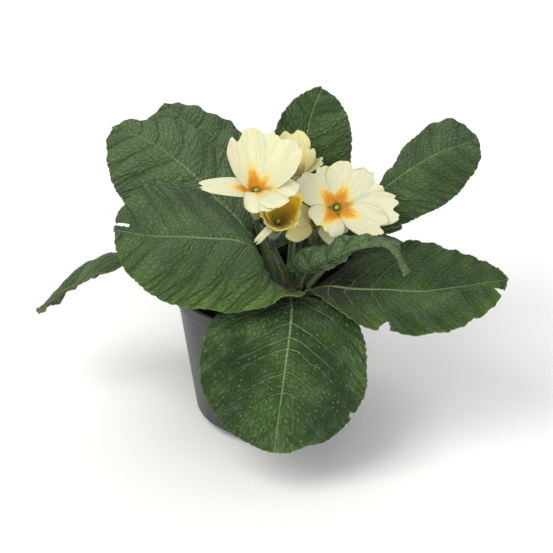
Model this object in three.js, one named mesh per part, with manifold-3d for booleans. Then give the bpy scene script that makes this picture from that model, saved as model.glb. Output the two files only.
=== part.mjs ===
// Potted primrose: a round nursery pot of compost, a rosette of obovate leaves and five pale flowers.
// Millimetres, +Z up. The origin is the centre of the pot's underside, and the leaves drape past the pot.

import * as THREE from 'three';
import { mergeVertices } from 'three/addons/utils/BufferGeometryUtils.js';
import Module from 'manifold-3d';

const wasm = await Module();
wasm.setup();

// ---------------------------------------------------------------- driving dimensions

const fit = 0.3; // gap between pieces that touch

const pot = {
  rimRadius: 45,
  height: 70,
  footRadius: 33.5,
  footChamfer: 5,
  wall: 1.6,
  lipHeight: 8,
  lipOut: 1.8,
  floor: 2,
  holes: 8,
  holeRadius: 3.5,
  holeRing: 25,
  holeSides: 10,
  sides: 40,
};

const compost = { level: 60.5, crown: 1.5, crownRing: 25, sides: 40 };

const rootstock = { x: 8, y: 0, radius: 7, bottom: 48, top: 67, sides: 16 };

const blade = {
  thickness: 1,
  stalkHalfWidth: 1.5,
  stalkThickness: 2.4,
  stalkFade: 1.6, // the extra thickness ends this many stalk lengths out
  tipCut: 0.994, // the last of the midrib left off, so that the tip has an edge
  tipCrowding: 1.5, // how much closer the cross rows stand near the tip
  lengthSteps: 12,
  widthSteps: 6,
};

// Each leaf: the midrib's points from the crown outwards, the stalk's share of that length, the half
// widths left and right of the midrib, where it is widest, how blunt the tip is, the way the upper side
// faces at the base and at the tip, and the angles in degrees at which each half rises and then curls.
// A half may start at another share than the stalk's end, and its ear is the way in which its corner at
// the base is drawn out.
const leaves = {
  leaf_front: {
    midrib: [[7.05, -7.74, 64.5], [9.5, -24, 73.5], [9.5, -43, 73.5], [6, -60, 52], [2, -74, 25]],
    stalk: 0.16, half: [36, 38], widest: [0.55, 0.52], blunt: [0.5, 0.5],
    face: [0, -0.2, 1], faceTip: [0, -1, 0.3],
    rise: [0, 0], riseTip: [0, 0], curl: [-10, -10],
  },
  leaf_front_left: {
    midrib: [[0.62, -4.98, 64.3], [-4, -10, 89], [-16, -14, 98], [-40, -17, 100], [-68, -18, 104]],
    stalk: 0.12, start: [0.05, 0.12], ear: [[33, -10, 28], [0, 0, 0]],
    half: [41, 35], widest: [0.42, 0.6], blunt: [0.5, 0.5],
    face: [0.4, 0, 1], faceTip: [0, -0.25, 1],
    rise: [-6, -20], riseTip: [-8, 20], curl: [-25, -5],
  },
  leaf_left: {
    midrib: [[-0.4, 2.9, 64.3], [-12, 12, 91], [-33, 26, 107], [-51, 38, 118], [-73, 52, 122]],
    stalk: 0.25, half: [32, 26], widest: [0.5, 0.4], blunt: [0.5, 0.5],
    face: [0.4, -0.5, 0.9], faceTip: [-0.1, -0.45, 0.9],
    rise: [5, -10], riseTip: [-10, -10], curl: [-20, -15],
  },
  leaf_back_left: {
    midrib: [[1.4, 5.95, 64.3], [-6, 26, 85], [-22, 50, 104], [-38, 70, 113], [-51, 88, 117]],
    stalk: 0.25, half: [28, 23], widest: [0.6, 0.45], blunt: [0.5, 0.5],
    face: [0.3, -0.6, 0.8], faceTip: [0, -0.5, 0.9],
    rise: [-5, -10], riseTip: [-5, -10], curl: [-10, -20],
  },
  leaf_back: {
    midrib: [[8.6, 8.9, 64.3], [12, 23, 90.3], [16, 38, 116.9], [19, 46, 130], [24, 56, 139]],
    stalk: 0.35, half: [17, 22], widest: [0.4, 0.5], blunt: [0.8, 0.5],
    face: [0, -1, 0.3], faceTip: [0, -0.9, 0.4],
    rise: [12, 12], riseTip: [12, 12], curl: [0, 0],
  },
  leaf_back_right: {
    midrib: [[15.5, 4.7, 64.3], [30, 9.5, 88], [50, 17, 106], [73, 31, 116], [96, 44, 119]],
    stalk: 0.3, half: [22, 22.5], widest: [0.85, 0.52], blunt: [0.42, 0.5],
    face: [-0.4, -0.4, 0.9], faceTip: [0, -0.45, 0.9],
    rise: [-5, -10], riseTip: [-5, -10], curl: [-20, -20],
  },
  leaf_right: {
    midrib: [[15.2, -2.9, 64.5], [29, -17, 76], [54, -27, 79.3], [78, -31, 82.7], [104, -33, 87.6]],
    stalk: 0.2, start: [0.08, 0.14], half: [34, 30], widest: [0.42, 0.5], blunt: [0.75, 0.72],
    face: [-0.1, -0.2, 1], faceTip: [-0.1, -0.2, 1],
    rise: [0, 26], riseTip: [0, -8], curl: [0, -8],
  },
  leaf_far_left: {
    midrib: [[0.35, -1.5, 64.5], [-25, 4, 80], [-65, 7, 80], [-90, 9, 68], [-108, 10, 47]],
    stalk: 0.3, half: [20, 24], widest: [0.45, 0.5], blunt: [0.6, 0.5],
    face: [0.2, 0, 1], faceTip: [-0.2, 0, 0.9],
    rise: [5, -25], riseTip: [5, -25], curl: [0, -25],
  },
  leaf_arched: {
    midrib: [
      [13.1, -8, 64.5], [14.9, -15, 76.6], [17, -20, 83.5], [20.9, -24, 89.2], [26.9, -28, 93.9],
      [34.5, -33, 101.6], [41.7, -37, 106.7], [49.3, -40, 108.8], [54.8, -43, 105.5], [59.2, -45, 96.3],
    ],
    stalk: 0.2, start: [0.2, 0.1], ear: [[-5, 5, -9], [0, 0, 0]],
    half: [11, 4], widest: [0.2, 0.2], blunt: [0.55, 0.5],
    face: [-0.2, -0.9, 0.4], faceTip: [0.3, -0.3, 0.9],
    rise: [0, -50], riseTip: [-20, -100], curl: [-10, 0],
  },
  leaf_low_right: {
    midrib: [[16.85, 0.9, 64.3], [29, 2, 78.5], [46, 10, 88], [60, 17, 87.5]],
    stalk: 0.35, half: [11, 6], widest: [0.6, 0.6], blunt: [0.5, 0.5],
    face: [-0.3, -0.4, 1], faceTip: [0, -0.4, 1],
    rise: [0, 0], riseTip: [0, 0], curl: [-10, -10],
  },
  leaf_rear_low_left: {
    midrib: [[5.6, 7.5, 64.5], [1, 26, 73], [-7, 48, 74], [-14, 66, 60], [-18, 80, 40]],
    stalk: 0.2, half: [30, 30], widest: [0.58, 0.58], blunt: [0.5, 0.5],
    face: [0, -0.2, 1], faceTip: [-0.1, 0.6, 0.7],
    rise: [0, 0], riseTip: [0, 0], curl: [-12, -12],
  },
  leaf_rear_low_right: {
    midrib: [[12, 6.7, 64.5], [24, 22, 75], [42, 38, 75], [56, 52, 64], [66, 62, 48]],
    stalk: 0.2, half: [28, 28], widest: [0.58, 0.58], blunt: [0.5, 0.5],
    face: [0, -0.2, 1], faceTip: [0.4, 0.5, 0.7],
    rise: [0, 0], riseTip: [0, 0], curl: [-12, -12],
  },
};

const petalForm = {
  thickness: 0.7,
  foot: 2.2, // half width where it meets the mouth of the tube
  spread: 0.62, // below 1 it widens soon after its foot
  notchDepth: 0.13,
  notchWidth: 0.2,
  shoulder: 0.3,
  lengthSteps: 5,
  widthSteps: 6,
};

const tube = { length: 14, radius: 1.6, bore: 1, mouthRadius: 2.6, mouthBore: 1.9, flare: 4, sides: 8 };

const calyx = { length: 9, radius: 3.4, waist: 0.85, wall: 0.5, tooth: 2, rib: 1.06, foot: 2.4, sides: 20 };

const stalk = { radius: 1, sides: 8, steps: 8, bend: 14 };

const pistil = { styleRadius: 0.35, ovaryRadius: 0.7, stigmaRadius: 0.9, stigmaTop: 1.1, sides: 8 };

// Each flower: the mouth of its tube, the way it faces, where its stalk leaves the rootstock, the way
// that the stalk sets off, how much its petals wrap round the axis (0 flat, 1 a cup) and its petals. A
// petal's turn is counter-clockwise from the flower's right, its rise is above the flower's plane and
// its curl is the further turn up to its tip, in degrees. Taper narrows its end.
const flowers = {
  right: {
    throat: [29.8, -1.5, 106.6], axis: [0.05, -0.85, 0.52], root: [11.5, -1.5], lean: [6, -2, 12], wrap: 0,
    petals: [
      { turn: 128, length: 18.8, half: 10.5, rise: 12, curl: 0, skew: 0.08, notchAt: -0.2 },
      { turn: 63, length: 19.3, half: 11, rise: 15, curl: 0, skew: -0.03 },
      { turn: 32, length: 20.5, half: 10, rise: 10, curl: 0 },
      { turn: -4, length: 26.5, half: 7.8, rise: 10, curl: 0 },
      { turn: 334, length: 22, half: 7.5, rise: 12, curl: 0 },
      { turn: 230, length: 11.2, half: 9.5, rise: 48, curl: -60 },
    ],
  },
  left: {
    throat: [-6, -6, 117.2], axis: [0, -0.25, 0.97], root: [4.5, -1.5], lean: [0, 0, 12], wrap: 0.5,
    petals: [
      { turn: 105, length: 26, half: 11, rise: 55, curl: -5, skew: 0.04, notchAt: 0.35 },
      { turn: 36, length: 27.5, half: 14, rise: 50, curl: 0, notchAt: 0.3 },
      { turn: -36, length: 20.5, half: 11, rise: 55, curl: -72 },
      { turn: -80, length: 19, half: 7.5, rise: 66, curl: -115 },
      { turn: 188, length: 25, half: 9, rise: 30, curl: -30, taper: 0.45 },
    ],
  },
  rear: {
    throat: [12, 17, 115.3], axis: [0.02, -0.2, 1], root: [8.5, 3.3], lean: [0, 0, 12], wrap: 0.5,
    petals: [
      { turn: 98, length: 18, half: 8.5, rise: 60, curl: 0 },
      { turn: 35, length: 12, half: 7, rise: 60, curl: 0 },
      { turn: -12, length: 12.5, half: 4.5, rise: 36, curl: 0 },
      { turn: -134, length: 14, half: 8, rise: 65, curl: 0 },
      { turn: 150, length: 15, half: 8, rise: 60, curl: 0 },
    ],
  },
  middle: {
    throat: [3.6, -8, 103], axis: [0.15, -0.6, 0.8], root: [8, -3], lean: [0, 0, 12], wrap: 1,
    petals: [
      { turn: 40, length: 17, half: 7, rise: 58, curl: 0, taper: 0.3 },
      { turn: 120, length: 9.5, half: 7, rise: 55, curl: 0 },
      { turn: 192, length: 11.5, half: 7, rise: 52, curl: 0 },
      { turn: 264, length: 11, half: 7, rise: 55, curl: 0 },
      { turn: 336, length: 11.5, half: 7, rise: 55, curl: 0 },
      { turn: 215, length: 13.5, half: 1.8, rise: 20, curl: -70 },
    ],
  },
  lower: {
    throat: [20.8, 4, 96.6], axis: [0.15, -0.8, 0.5], root: [11, 1.8], lean: [0, 0, 12], wrap: 0,
    petals: [
      { turn: 112, length: 7, half: 4, rise: 70, curl: 0 },
      { turn: 55, length: 5, half: 2.8, rise: 70, curl: 0 },
      { turn: -31, length: 13, half: 6.8, rise: 0, curl: 0 },
      { turn: 191, length: 13.8, half: 6.6, rise: 10, curl: 0 },
      { turn: 156, length: 10.5, half: 5.5, rise: 24, curl: 0 },
    ],
  },
};

const colours = {
  pot: 0x4a4e4f,
  compost: 0x3a2c20,
  rootstock: 0x6d6a45,
  leaf: 0x4b6138,
  petal: 0xe6e0b4,
  calyx: 0x9fab62,
  stalk: 0xa9ad84,
  pistil: 0xbcb337,
};

// ---------------------------------------------------------------- helpers

const part = new THREE.Group();

function addPiece(name, geometry, colour, roughness) {
  const finish = new THREE.MeshStandardMaterial({ color: colour, roughness, metalness: 0 });
  const piece = new THREE.Mesh(geometry, finish);
  piece.name = name;
  part.add(piece);
}

function toSolid(geometry) {
  const bare = geometry.clone();
  bare.deleteAttribute('normal');
  bare.deleteAttribute('uv');
  const merged = mergeVertices(bare, 1e-4);
  return new wasm.Manifold(new wasm.Mesh({
    numProp: 3,
    vertProperties: new Float32Array(merged.attributes.position.array),
    triVerts: new Uint32Array(merged.index.array),
  }));
}

function toGeometry(solid) {
  const mesh = solid.getMesh();
  const geometry = new THREE.BufferGeometry();
  geometry.setAttribute('position', new THREE.BufferAttribute(mesh.vertProperties, 3));
  geometry.setIndex(new THREE.BufferAttribute(mesh.triVerts, 1));
  geometry.computeVertexNormals();
  return geometry;
}

function lathed(profile, sides) {
  const outline = profile.map(([radius, height]) => new THREE.Vector2(radius, height));
  return new THREE.LatheGeometry(outline, sides).rotateX(Math.PI / 2);
}

// Moves every corner of a geometry to where place() puts it.
function reshaped(geometry, place) {
  const spots = geometry.attributes.position;
  for (let i = 0; i < spots.count; i += 1) {
    const spot = place(spots.getX(i), spots.getY(i), spots.getZ(i));
    spots.setXYZ(i, spot.x, spot.y, spot.z);
  }
  geometry.computeVertexNormals();
  return geometry;
}

// A slab of unit size, each of whose corners place() moves: along 0 to 1, across -1 to 1, and lift
// -0.5 on the under side to 0.5 on the upper side.
function shapedSlab(alongSteps, acrossSteps, place) {
  const slab = new THREE.BoxGeometry(1, 2, 1, alongSteps, acrossSteps, 1);
  return reshaped(slab, (x, y, z) => place(x + 0.5, y, z));
}

const degrees = Math.PI / 180;

// How far out and up an arc of this reach goes when it starts at angle rise and turns by curl.
function arc(reach, rise, curl) {
  if (Math.abs(curl) < 1e-3) {
    return { out: reach * Math.cos(rise), up: reach * Math.sin(rise) };
  }
  const end = rise + curl;
  return {
    out: (reach * (Math.sin(end) - Math.sin(rise))) / curl,
    up: (reach * (Math.cos(rise) - Math.cos(end))) / curl,
  };
}

// ---------------------------------------------------------------- pot, compost and rootstock

function wallAt(z) {
  return pot.footRadius + ((pot.rimRadius - pot.lipOut - pot.footRadius) * z) / pot.height;
}

// The pot's inner wall runs straight from above the foot to the rim.
function innerAt(z) {
  const bottom = pot.footChamfer + pot.floor;
  const low = wallAt(pot.footChamfer) - pot.wall;
  const share = (z - bottom) / (pot.height - bottom);
  return low + (pot.rimRadius - pot.wall - low) * share;
}

function makePot() {
  const foot = wallAt(0) - pot.footChamfer;
  const lipBottom = pot.height - pot.lipHeight;
  const profile = [
    [0, 0],
    [foot, 0],
    [wallAt(pot.footChamfer), pot.footChamfer],
    [wallAt(lipBottom), lipBottom],
    [wallAt(lipBottom) + pot.lipOut, lipBottom + pot.lipOut],
    [pot.rimRadius, pot.height],
    [pot.rimRadius - pot.wall, pot.height],
    [wallAt(pot.footChamfer) - pot.wall, pot.footChamfer + pot.floor],
    [foot, pot.floor],
    [0, pot.floor],
  ];
  let solid = toSolid(lathed(profile, pot.sides));
  for (let i = 0; i < pot.holes; i += 1) {
    const turn = ((i + 0.5) / pot.holes) * 2 * Math.PI;
    const drill = new THREE.CylinderGeometry(pot.holeRadius, pot.holeRadius, 4 * pot.floor, pot.holeSides);
    drill.rotateX(Math.PI / 2);
    drill.translate(pot.holeRing * Math.cos(turn), pot.holeRing * Math.sin(turn), 0);
    solid = solid.subtract(toSolid(drill));
  }
  return toGeometry(solid);
}

function makeCompost() {
  const low = pot.footChamfer + pot.floor;
  const profile = [
    [0, pot.floor + fit],
    [wallAt(0) - pot.footChamfer - 2 * fit, pot.floor + fit],
    [innerAt(low) - 1.3 * fit, low],
    [innerAt(compost.level) - fit, compost.level],
    [compost.crownRing, compost.level + 0.6 * compost.crown],
    [0, compost.level + compost.crown],
  ];
  const pitDepth = rootstock.top - rootstock.bottom + fit;
  const pitRadius = rootstock.radius + fit;
  const pit = new THREE.CylinderGeometry(pitRadius, pitRadius, pitDepth, rootstock.sides);
  pit.rotateX(Math.PI / 2);
  pit.translate(rootstock.x, rootstock.y, rootstock.top - pitDepth / 2);
  return toGeometry(toSolid(lathed(profile, compost.sides)).subtract(toSolid(pit)));
}

function makeRootstock() {
  const { radius, bottom, top } = rootstock;
  const geometry = lathed([
    [0, bottom],
    [0.6 * radius, bottom],
    [radius, bottom + 0.5 * radius],
    [radius, top - 0.35 * radius],
    [0.92 * radius, top - 0.12 * radius],
    [0.75 * radius, top],
    [0, top],
  ], rootstock.sides);
  return geometry.translate(rootstock.x, rootstock.y, 0);
}

// ---------------------------------------------------------------- leaves

function bladeShare(leaf, s, side) {
  const start = leaf.start ? leaf.start[side] : leaf.stalk;
  return Math.max(0, (s - start) / (1 - start));
}

// Half the width of a leaf at share s of its midrib, on side 0 (left) or 1 (right).
function halfWidth(leaf, s, side) {
  const t = bladeShare(leaf, s, side);
  const widest = leaf.widest[side];
  const blunt = leaf.blunt[side];
  const swell = (t / widest) ** ((blunt * widest) / (1 - widest));
  const taper = ((1 - t) / (1 - widest)) ** blunt;
  return Math.hypot(blade.stalkHalfWidth * (1 - t), leaf.half[side] * swell * taper);
}

function makeLeaf(leaf) {
  const points = leaf.midrib.map((p) => new THREE.Vector3(...p));
  const curve = new THREE.CatmullRomCurve3(points, false, 'catmullrom', 0.5);
  const faceBase = new THREE.Vector3(...leaf.face).normalize();
  const faceTip = new THREE.Vector3(...leaf.faceTip).normalize();

  return shapedSlab(blade.lengthSteps, blade.widthSteps, (along, across, lift) => {
    const s = blade.tipCut * (1 - (1 - along) ** blade.tipCrowding);
    const forward = curve.getTangentAt(s);
    const up = faceBase.clone().lerp(faceTip, s);
    up.addScaledVector(forward, -up.dot(forward)).normalize();
    const left = up.clone().cross(forward);
    const side = across > 0 ? 0 : 1;
    const rise = (leaf.rise[side] + (leaf.riseTip[side] - leaf.rise[side]) * s) * degrees;
    const curl = leaf.curl[side] * degrees * Math.abs(across);
    const half = halfWidth(leaf, s, side);
    const step = arc(half * Math.abs(across), rise, curl);
    const lean = across === 0 ? 0 : rise + curl;
    const stalkShare = Math.max(0, 1 - s / (blade.stalkFade * leaf.stalk));
    const thick = lift * (blade.thickness + (blade.stalkThickness - blade.thickness) * stalkShare);
    const ear = new THREE.Vector3(...(leaf.ear ? leaf.ear[side] : [0, 0, 0]));
    const drawn = (half / leaf.half[side]) * across ** 2 * (1 - bladeShare(leaf, s, side)) ** 4;
    return curve.getPointAt(s)
      .addScaledVector(ear, drawn)
      .addScaledVector(left, (across > 0 ? 1 : -1) * (step.out - thick * Math.sin(lean)))
      .addScaledVector(up, step.up + thick * Math.cos(lean));
  });
}

// ---------------------------------------------------------------- flowers

// Each piece of a flower is made with the flower's mouth at the origin, facing +Z, and then moved here.
function flowerFrame(plan) {
  const axis = new THREE.Vector3(...plan.axis).normalize();
  const right = new THREE.Vector3(0, 0, 1).cross(axis).normalize();
  const top = axis.clone().cross(right);
  return new THREE.Matrix4().makeBasis(right, top, axis).setPosition(...plan.throat);
}

// A corner of a petal that stands along +X.
function petalSpot(petal, wrap, along, across, lift) {
  const fromNotch = (across - (petal.notchAt ?? 0)) / petalForm.notchWidth;
  const notch = petalForm.notchDepth * Math.exp(-(fromNotch ** 2));
  const edge = 1 + (petal.skew ?? 0) * across - petalForm.shoulder * Math.abs(across) ** 3.5 - notch;
  const spread = Math.sin((Math.PI / 2) * along ** petalForm.spread);
  const full = petalForm.foot + (petal.half - petalForm.foot) * spread;
  const half = full * (1 - (petal.taper ?? 0) * along ** 2);
  const rise = petal.rise * degrees;
  const curl = petal.curl * degrees * along;
  const step = arc(petal.length * along * edge, rise, curl);
  const thick = lift * petalForm.thickness;
  const reach = (tube.mouthRadius + tube.mouthBore) / 2 - 0.15 + step.out - thick * Math.sin(rise + curl);
  const round = (half * across) / Math.max(reach, 2);
  return new THREE.Vector3(
    reach + wrap * Math.max(reach, 2) * (Math.cos(round) - 1),
    half * across + wrap * (Math.max(reach, 2) * Math.sin(round) - half * across),
    step.up + thick * Math.cos(rise + curl),
  );
}

// The petals and the tube below them are one grown piece.
function makeCorolla(plan) {
  const mouth = petalForm.thickness / 2 + 0.05;
  const pipe = lathed([
    [tube.radius, -tube.length],
    [tube.radius, -tube.flare],
    [tube.mouthRadius, mouth],
    [tube.mouthBore, mouth],
    [tube.bore, -tube.flare],
    [tube.bore, -tube.length],
    [tube.radius, -tube.length],
  ], tube.sides);
  let solid = toSolid(pipe);
  for (const petal of plan.petals) {
    const slab = shapedSlab(petalForm.lengthSteps, petalForm.widthSteps, (along, across, lift) => (
      petalSpot(petal, plan.wrap, along, across, lift)
    ));
    solid = solid.add(toSolid(slab.rotateZ(petal.turn * degrees)));
  }
  return toGeometry(solid).applyMatrix4(flowerFrame(plan));
}

// The calyx is a ribbed cup around the tube, closed below, with one tooth before each petal.
function makeCalyx(plan) {
  const base = -tube.length - fit;
  const rim = base + calyx.length;
  const waist = calyx.waist * calyx.radius;
  const waistHeight = base + 0.4 * calyx.length;
  const inside = tube.radius + fit;
  const cup = lathed([
    [0, base - calyx.foot],
    [1.3, base - calyx.foot + 0.4],
    [inside + calyx.wall, base],
    [waist, waistHeight],
    [calyx.radius, rim],
    [calyx.radius - calyx.wall, rim],
    [waist - calyx.wall, waistHeight],
    [inside, base],
    [0, base],
  ], calyx.sides);
  reshaped(cup, (x, y, z) => {
    const wave = Math.cos(5 * Math.atan2(y, x));
    const onRib = wave > 0.5 && z < rim && Math.hypot(x, y) > waist - 0.1;
    const swell = onRib ? calyx.rib : 1;
    const lift = z > rim - 0.01 ? calyx.tooth * wave : 0;
    return new THREE.Vector3(x * swell, y * swell, z + lift);
  });
  return cup.applyMatrix4(flowerFrame(plan));
}

function makeStalk(plan) {
  const frame = flowerFrame(plan);
  const behind = (distance) => new THREE.Vector3(0, 0, -tube.length - distance).applyMatrix4(frame);
  const foot = new THREE.Vector3(...plan.root, rootstock.top + 2.5 * fit);
  const curve = new THREE.CubicBezierCurve3(
    foot,
    foot.clone().add(new THREE.Vector3(...plan.lean)),
    behind(stalk.bend),
    behind(calyx.foot + 2 * fit),
  );
  const rod = new THREE.CylinderGeometry(stalk.radius, stalk.radius, 1, stalk.sides, stalk.steps);
  return reshaped(rod, (x, y, z) => {
    const forward = curve.getTangent(0.5 - y);
    const side = new THREE.Vector3(1, 0, 0);
    side.addScaledVector(forward, -side.dot(forward)).normalize();
    const other = forward.clone().cross(side);
    return curve.getPoint(0.5 - y).addScaledVector(side, x).addScaledVector(other, z);
  });
}

function makePistil(plan) {
  const { styleRadius, ovaryRadius, stigmaRadius, stigmaTop } = pistil;
  const foot = -tube.length;
  return lathed([
    [0, foot],
    [ovaryRadius, foot + 0.4],
    [ovaryRadius, foot + 1.4],
    [styleRadius, foot + 2],
    [styleRadius, stigmaTop - 1.7],
    [stigmaRadius, stigmaTop - 1.1],
    [stigmaRadius, stigmaTop - 0.5],
    [0, stigmaTop],
  ], pistil.sides).applyMatrix4(flowerFrame(plan));
}

// ---------------------------------------------------------------- assembly

addPiece('pot', makePot(), colours.pot, 0.6);
addPiece('compost', makeCompost(), colours.compost, 0.9);
addPiece('rootstock', makeRootstock(), colours.rootstock, 0.8);
for (const [name, leaf] of Object.entries(leaves)) {
  addPiece(name, makeLeaf(leaf), colours.leaf, 0.7);
}
for (const [name, plan] of Object.entries(flowers)) {
  addPiece(`corolla_${name}`, makeCorolla(plan), colours.petal, 0.6);
  addPiece(`calyx_${name}`, makeCalyx(plan), colours.calyx, 0.7);
  addPiece(`stalk_${name}`, makeStalk(plan), colours.stalk, 0.7);
  addPiece(`pistil_${name}`, makePistil(plan), colours.pistil, 0.5);
}

export default part;
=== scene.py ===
from functools import partial
from math import cos, pi, radians, sin

import bmesh
import bpy
import numpy as np
from mathutils import Matrix, Vector


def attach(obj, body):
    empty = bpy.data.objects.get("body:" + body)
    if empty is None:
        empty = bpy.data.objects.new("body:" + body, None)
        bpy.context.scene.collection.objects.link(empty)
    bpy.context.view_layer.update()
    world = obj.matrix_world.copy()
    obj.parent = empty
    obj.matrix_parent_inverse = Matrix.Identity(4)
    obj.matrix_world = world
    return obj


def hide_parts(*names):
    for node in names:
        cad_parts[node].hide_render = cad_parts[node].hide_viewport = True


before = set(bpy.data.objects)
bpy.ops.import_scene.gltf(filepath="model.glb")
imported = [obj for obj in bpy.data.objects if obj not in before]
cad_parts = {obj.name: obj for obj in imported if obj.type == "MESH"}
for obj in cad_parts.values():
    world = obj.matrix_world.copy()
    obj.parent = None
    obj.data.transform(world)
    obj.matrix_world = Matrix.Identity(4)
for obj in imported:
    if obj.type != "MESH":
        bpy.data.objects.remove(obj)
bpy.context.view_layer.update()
mm = 0.001


# Small helpers

def toLinear(shade):  # sRGB hex, or a plain grey number, to a shader's linear colour
    if not isinstance(shade, str):
        return (shade, shade, shade, 1.0)
    parts = [int(shade[i:i + 2], 16) / 255 for i in (1, 3, 5)]
    return tuple(c / 12.92 if c <= 0.04045 else ((c + 0.055) / 1.055) ** 2.4 for c in parts) + (1.0,)


def setNode(node, settings):  # a node given as a value is linked by its first output
    for key, value in settings.items():
        if key == "stops":  # a ramp's places with their colours or greys
            steps = node.color_ramp.elements
            for step, (place, shade) in ((steps[0], value[0]), (steps[1], value[-1])):
                step.position, step.color = place, toLinear(shade)
            for place, shade in value[1:-1]:
                steps.new(place).color = toLinear(shade)
        elif isinstance(value, (bpy.types.Node, bpy.types.NodeSocket)):
            source = value.outputs[0] if isinstance(value, bpy.types.Node) else value
            node.id_data.links.new(source, node.inputs[key])
        elif isinstance(key, int) or key in node.inputs:
            node.inputs[key].default_value = toLinear(value) if isinstance(value, str) else value
        else:
            setattr(node, key, value)
    return node


def addNode(tree, kind, *inputs, **settings):  # one node with its settings, and its links by number or name
    return setNode(tree.nodes.new("ShaderNode" + kind), {**settings, **dict(enumerate(inputs))})


def newMaterial(name, finish):
    material = bpy.data.materials.new(name)
    material.use_nodes = True
    tree = material.node_tree
    return material, partial(addNode, tree), setNode(tree.nodes["Principled BSDF"], finish)


def paint(add, colour, layers):  # each colour goes over the last as far as its mask lets it
    for mask, stops, over in layers:
        if stops:
            mask = add("ValToRGB", Fac=mask, stops=stops)
        colour = add("MixRGB", Fac=mask, Color1=colour, Color2=over)
    return colour


def grained(name, finish, look):  # a material whose colour and bump follow one cloudy grain
    material, add, shader = newMaterial(name, finish)
    place = add("TexCoord").outputs["Object"]
    if "stretch" in look:
        place = add("Mapping", Scale=look["stretch"], Vector=place)
    grain = add("TexNoise", Scale=look["scale"], Detail=look["detail"], Vector=place)
    setNode(shader, {"Base Color": add("ValToRGB", Fac=grain, stops=look["stops"])})
    if "bump" in look:
        strength, depth = look["bump"]
        bump = add("Bump", Strength=strength, Distance=depth, Height=grain)
        setNode(shader, {"Normal": bump})
    return material


def scatter(x, y, seed):  # a fixed random number for each whole pair
    return np.modf(np.abs(np.sin(x * 12.9898 + y * 78.233 + seed * 37.719) * 43758.5453))[0]


def softNoise(x, y, seed):  # smooth noise from 0 to 1, one hump to a unit
    x0, y0 = np.floor(x), np.floor(y)
    fx, fy = x - x0, y - y0
    fx, fy = fx * fx * (3 - 2 * fx), fy * fy * (3 - 2 * fy)
    low = scatter(x0, y0, seed) * (1 - fx) + scatter(x0 + 1, y0, seed) * fx
    high = scatter(x0, y0 + 1, seed) * (1 - fx) + scatter(x0 + 1, y0 + 1, seed) * fx
    return low * (1 - fy) + high * fy


def bell(value, width):  # 1 at nought, falling away on both sides
    return np.exp(-(value / width) ** 2)


def unit(rows):  # each row made one long
    return rows / np.linalg.norm(rows, axis=1)[:, None]


def getSpots(mesh):
    flat = np.zeros(len(mesh.vertices) * 3)
    mesh.vertices.foreach_get("co", flat)
    return flat.reshape(-1, 3)


def setSpots(mesh, spots):  # spots in millimetres
    mesh.vertices.foreach_set("co", (np.asarray(spots) * mm).ravel())
    mesh.update()


def setUv(mesh, name, uv):
    layer = mesh.uv_layers.get(name) or mesh.uv_layers.new(name=name)
    corners = np.zeros(len(mesh.loops), dtype=np.int64)
    mesh.loops.foreach_get("vertex_index", corners)
    layer.data.foreach_set("uv", uv[corners].astype(np.float32).ravel())


def setTint(mesh, name, *channels):  # four numbers for each vertex that a material reads
    data = np.ones((len(mesh.vertices), 4), np.float32)
    for k, channel in enumerate(channels):
        data[:, k] = channel
    mesh.attributes.new(name, "FLOAT_COLOR", "POINT").data.foreach_set("color", data.ravel())


def reopen(mesh):
    bm = bmesh.new()
    bm.from_mesh(mesh)
    return bm


def toMesh(bm, target):  # into a new mesh of that name, or back into its own mesh
    mesh = bpy.data.meshes.new(target) if isinstance(target, str) else target
    bm.to_mesh(mesh)
    bm.free()
    return mesh


def addObject(name, data):
    item = bpy.data.objects.new(name, data)
    bpy.context.scene.collection.objects.link(item)
    return item


def addPiece(mesh, materials, node):
    piece = addObject(mesh.name, mesh)
    for material in materials:
        mesh.materials.append(material)
    mesh.polygons.foreach_set("use_smooth", [True] * len(mesh.polygons))
    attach(piece, "root")
    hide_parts(node)
    return piece


def thicken(piece, thickness):  # a sheet gets its other side, in the piece's second material
    shell = piece.modifiers.new("thickness", "SOLIDIFY")
    shell.thickness, shell.offset = thickness * mm, -1
    shell.material_offset, shell.material_offset_rim = 1, 0
    return shell


def spinProfile(bm, profile, steps):  # radius and height, in millimetres, turned about Z
    verts = [bm.verts.new((radius * mm, 0, height * mm)) for radius, height in profile]
    edges = [bm.edges.new(pair) for pair in zip(verts, verts[1:])]
    bmesh.ops.spin(bm, geom=verts + edges, cent=(0, 0, 0), axis=(0, 0, 1), angle=2 * pi,
                   steps=steps, use_merge=True)


def lathe(profile, steps):  # a closed turned piece
    bm = bmesh.new()
    spinProfile(bm, profile, steps)
    bmesh.ops.remove_doubles(bm, verts=bm.verts, dist=0.005 * mm)
    bmesh.ops.recalc_face_normals(bm, faces=bm.faces)
    return bm


def rounded(profile, radius, steps=4):  # a profile whose inner corners are turned to short arcs
    result = [profile[0]]
    for before, corner, after in zip(profile, profile[1:], profile[2:]):
        b, c, a = Vector(before), Vector(corner), Vector(after)
        r = min(radius, 0.45 * (b - c).length, 0.45 * (a - c).length)
        start, end = c + (b - c).normalized() * r, c + (a - c).normalized() * r
        for k in range(steps + 1):
            t = k / steps
            spot = start * (1 - t) ** 2 + c * 2 * t * (1 - t) + end * t ** 2
            result.append((spot.x, spot.y))
    return result + [profile[-1]]


# Camera, lights and floor

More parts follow.
